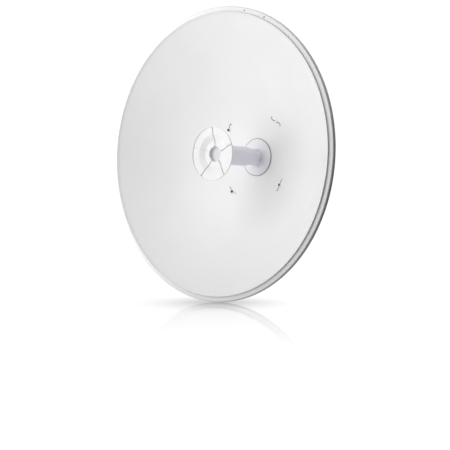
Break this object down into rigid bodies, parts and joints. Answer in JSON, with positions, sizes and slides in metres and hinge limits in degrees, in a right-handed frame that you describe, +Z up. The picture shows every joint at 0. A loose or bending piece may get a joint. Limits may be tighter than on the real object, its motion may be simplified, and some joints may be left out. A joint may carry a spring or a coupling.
{
  "type": "dish antenna",
  "caption": "Small round front-fed dish antenna: a deep pressed bowl with a rolled rim, a feed tube with a round cap, and a flat-faced mast bracket behind.",
  "frame": {"origin": "centre of the flat rear face of the mast plate, where the antenna is bolted on", "axes": "+Y points backwards out of the mast face, the dish looks along -Y, +Z is up, +X is to the right seen from the front"},
  "size_m": [0.651, 0.2603, 0.651],
  "materials": {
    "bowl_paint": "smooth white powder coat, semi-gloss",
    "feed_plastic": "white moulded plastic, satin",
    "bracket_paint": "light grey powder coat",
    "hub_plastic": "light grey moulded plastic, matt",
    "steel": "zinc-plated steel",
    "rubber": "black rubber"
  },
  "bodies": {
    "root": {"reflector": "bowl_paint", "reflector_bolt_1": "bowl_paint", "reflector_bolt_2": "bowl_paint", "reflector_bolt_3": "bowl_paint", "reflector_bolt_4": "bowl_paint", "feed_cap": "feed_plastic", "feed_sleeve": "feed_plastic", "feed_tube": "feed_plastic", "feed_base_flange": "feed_plastic", "back_plate": "bracket_paint", "cheek_left": "bracket_paint", "cheek_right": "bracket_paint", "arm_left": "bracket_paint", "arm_right": "bracket_paint", "mast_plate": "bracket_paint", "hub_housing": "hub_plastic", "hub_cover": "hub_plastic", "rear_collar": "steel", "connector_left": "steel", "connector_right": "steel", "reflector_nut_1": "steel", "reflector_nut_2": "steel", "reflector_nut_3": "steel", "reflector_nut_4": "steel", "spacer_1": "steel", "spacer_2": "steel", "spacer_3": "steel", "spacer_4": "steel", "pivot_bolt_left": "steel", "pivot_bolt_right": "steel", "pivot_washer_left": "steel", "pivot_washer_right": "steel", "pivot_nut_left": "steel", "pivot_nut_right": "steel", "lock_bolt_left": "steel", "lock_bolt_right": "steel", "lock_washer_left": "steel", "lock_washer_right": "steel", "lock_nut_left": "steel", "lock_nut_right": "steel", "connector_cap_left": "rubber", "connector_cap_right": "rubber"}
  },
  "joints": []
}
